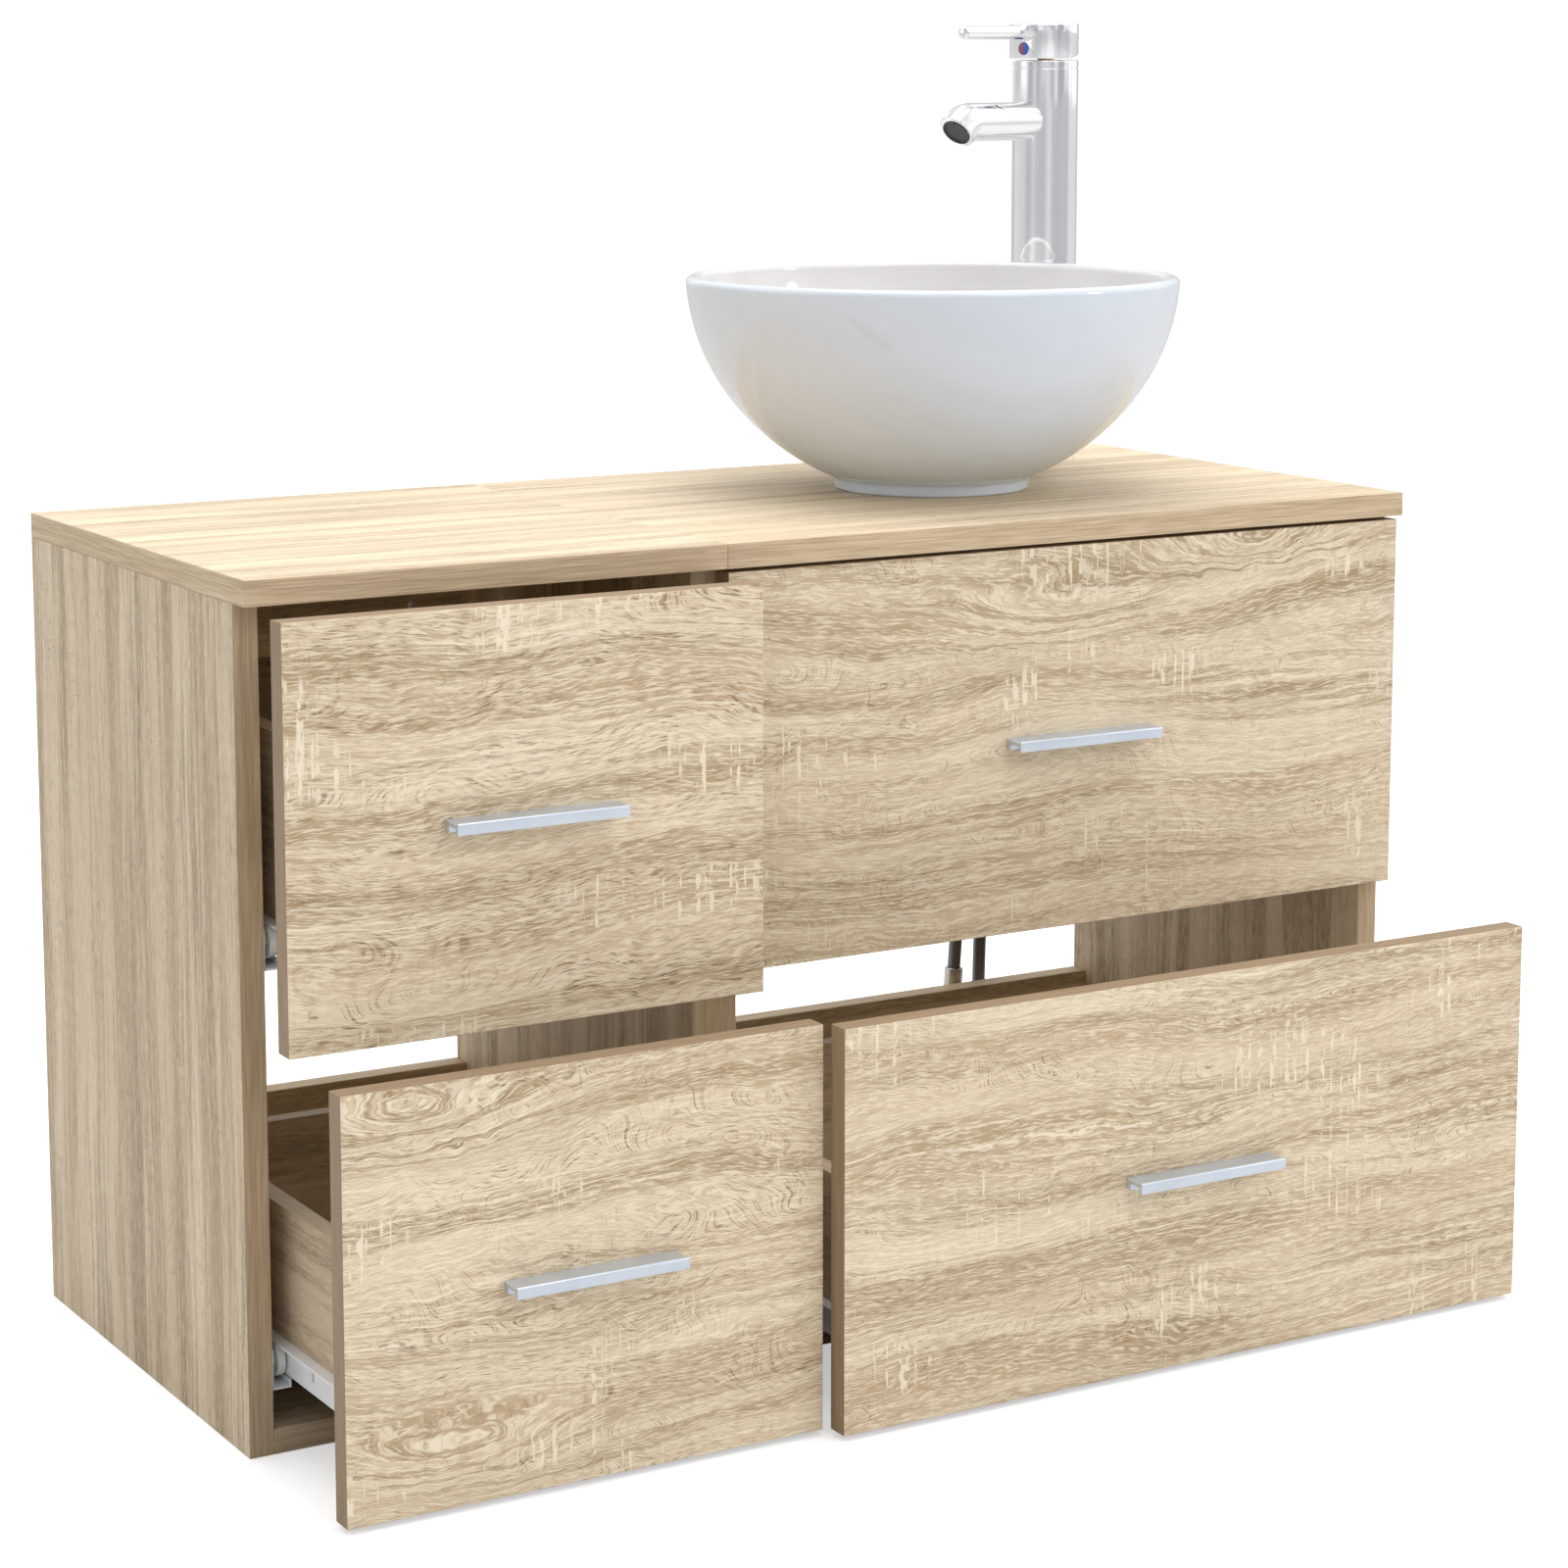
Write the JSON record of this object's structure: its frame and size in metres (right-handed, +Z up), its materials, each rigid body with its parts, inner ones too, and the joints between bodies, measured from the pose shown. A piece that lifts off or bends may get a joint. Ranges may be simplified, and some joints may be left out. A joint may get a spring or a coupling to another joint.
{
  "type": "vanity unit with vessel sink",
  "caption": "Oak-finish bathroom vanity with sliding drawers, a fixed false front, a round white vessel basin and a tall single-lever mixer tap.",
  "frame": {"origin": "centre of the two cabinets' footprint, at the underside of the bottom boards", "axes": "+X to the right along the front, +Y towards the wall, +Z up; drawers pull out along -Y"},
  "size_m": [0.8, 0.5085, 0.8014],
  "materials": {
    "oak_front": "matt laminate with an oak print, grain across",
    "oak_side": "matt laminate with an oak print, grain upright",
    "oak_top": "matt laminate with an oak print, grain across",
    "oak_inner": "matt laminate with an oak print",
    "drawer_board": "matt laminate with an oak print",
    "drawer_base": "painted hardboard",
    "handle_aluminium": "satin anodised",
    "runner_epoxy": "smooth epoxy coating",
    "nylon": "moulded nylon",
    "steel_zinc": "zinc plated",
    "ceramic": "glazed ceramic",
    "chrome": "polished chrome plate",
    "brass": "turned brass",
    "brass_nickel": "nickel plated brass",
    "trap_plastic": "white moulded plastic",
    "aerator_plastic": "dark moulded screen",
    "cartridge_plastic": "moulded plastic",
    "hose_braid": "braided steel wire"
  },
  "bodies": {
    "carcass": {"left_outer_side": "oak_side", "left_inner_side": "oak_side", "right_inner_side": "oak_side", "right_outer_side": "oak_side", "left_top": "oak_top", "right_top": "oak_top", "left_bottom": "oak_inner", "right_bottom": "oak_inner", "left_back_rails": "oak_inner", "right_back_rails": "oak_inner", "cabinet_link_screws": "steel_zinc", "false_front": "oak_front", "false_front_handle": "handle_aluminium", "false_front_fixings": "steel_zinc", "cabinet_runners": "runner_epoxy", "basin_bowl": "ceramic", "waste_flange": "chrome", "waste_nut": "brass", "trap_body": "trap_plastic", "trap_cup": "trap_plastic", "trap_outlet": "trap_plastic", "tap_body": "chrome", "tap_aerator": "aerator_plastic", "tap_cartridge": "cartridge_plastic", "tap_fixing": "steel_zinc", "hot_hose": "hose_braid", "cold_hose": "hose_braid", "hot_hose_nut": "brass_nickel", "cold_hose_nut": "brass_nickel"},
    "left_upper_drawer": {"left_upper_front": "oak_front", "left_upper_sides": "drawer_board", "left_upper_back": "drawer_board", "left_upper_base": "drawer_base", "left_upper_handle": "handle_aluminium", "left_upper_handle_screws": "steel_zinc", "left_upper_runners": "runner_epoxy"},
    "left_upper_rear_roller_pair": {"left_upper_rear_rollers": "nylon"},
    "left_upper_front_roller_pair": {"left_upper_front_rollers": "nylon"},
    "left_lower_drawer": {"left_lower_front": "oak_front", "left_lower_sides": "drawer_board", "left_lower_back": "drawer_board", "left_lower_base": "drawer_base", "left_lower_handle": "handle_aluminium", "left_lower_handle_screws": "steel_zinc", "left_lower_runners": "runner_epoxy"},
    "left_lower_rear_roller_pair": {"left_lower_rear_rollers": "nylon"},
    "left_lower_front_roller_pair": {"left_lower_front_rollers": "nylon"},
    "right_lower_drawer": {"right_lower_front": "oak_front", "right_lower_sides": "drawer_board", "right_lower_back": "drawer_board", "right_lower_base": "drawer_base", "right_lower_handle": "handle_aluminium", "right_lower_handle_screws": "steel_zinc", "right_lower_runners": "runner_epoxy"},
    "right_lower_rear_roller_pair": {"right_lower_rear_rollers": "nylon"},
    "right_lower_front_roller_pair": {"right_lower_front_rollers": "nylon"},
    "tap_swivel": {"tap_stem": "brass"},
    "tap_head": {"tap_cap": "chrome", "tap_lever": "chrome"},
    "plug": {"waste_plug": "chrome"}
  },
  "joints": [
    {"name": "left_upper_slide", "type": "slide", "parent": "carcass", "child": "left_upper_drawer", "axis": [0, -1, 0], "range_m": [-0.0475, 0.1775]},
    {"name": "left_upper_rear_roll", "type": "hinge", "parent": "left_upper_drawer", "child": "left_upper_rear_roller_pair", "pos_m": [-0.25, 0.075, 0.291], "axis": [1, 0, 0], "range_deg": [-274, 1019]},
    {"name": "left_upper_front_roll", "type": "hinge", "parent": "carcass", "child": "left_upper_front_roller_pair", "pos_m": [-0.25, -0.148, 0.2936], "axis": [1, 0, 0], "range_deg": [-274, 1019]},
    {"name": "left_lower_slide", "type": "slide", "parent": "carcass", "child": "left_lower_drawer", "axis": [0, -1, 0], "range_m": [-0.115, 0.11]},
    {"name": "left_lower_rear_roll", "type": "hinge", "parent": "left_lower_drawer", "child": "left_lower_rear_roller_pair", "pos_m": [-0.25, 0.0075, 0.0485], "axis": [1, 0, 0], "range_deg": [-660, 632]},
    {"name": "left_lower_front_roll", "type": "hinge", "parent": "carcass", "child": "left_lower_front_roller_pair", "pos_m": [-0.25, -0.148, 0.0511], "axis": [1, 0, 0], "range_deg": [-660, 632]},
    {"name": "right_lower_slide", "type": "slide", "parent": "carcass", "child": "right_lower_drawer", "axis": [0, -1, 0], "range_m": [-0.131, 0.094]},
    {"name": "right_lower_rear_roll", "type": "hinge", "parent": "right_lower_drawer", "child": "right_lower_rear_roller_pair", "pos_m": [0.15, -0.0085, 0.0485], "axis": [1, 0, 0], "range_deg": [-752, 540]},
    {"name": "right_lower_front_roll", "type": "hinge", "parent": "carcass", "child": "right_lower_front_roller_pair", "pos_m": [0.15, -0.148, 0.0511], "axis": [1, 0, 0], "range_deg": [-752, 540]},
    {"name": "tap_swivel_turn", "type": "hinge", "parent": "carcass", "child": "tap_swivel", "pos_m": [0.3117, 0.1034, 0.778], "axis": [0, 0, 1], "range_deg": [-45, 45]},
    {"name": "tap_lever_lift", "type": "hinge", "parent": "tap_swivel", "child": "tap_head", "pos_m": [0.3117, 0.1034, 0.7815], "axis": [-0.2924, 0.9563, 0], "range_deg": [0, 13]},
    {"name": "plug_push", "type": "slide", "parent": "carcass", "child": "plug", "axis": [0, 0, 1], "range_m": [-0.008, 0], "stiffness_N_per_m": 300, "springref_m": 0.01}
  ],
  "couplings": [
    {"joint": "left_upper_rear_roll", "follows": "left_upper_slide", "rad_per_m": 100},
    {"joint": "left_upper_front_roll", "follows": "left_upper_slide", "rad_per_m": 100},
    {"joint": "left_lower_rear_roll", "follows": "left_lower_slide", "rad_per_m": 100},
    {"joint": "left_lower_front_roll", "follows": "left_lower_slide", "rad_per_m": 100},
    {"joint": "right_lower_rear_roll", "follows": "right_lower_slide", "rad_per_m": 100},
    {"joint": "right_lower_front_roll", "follows": "right_lower_slide", "rad_per_m": 100}
  ]
}
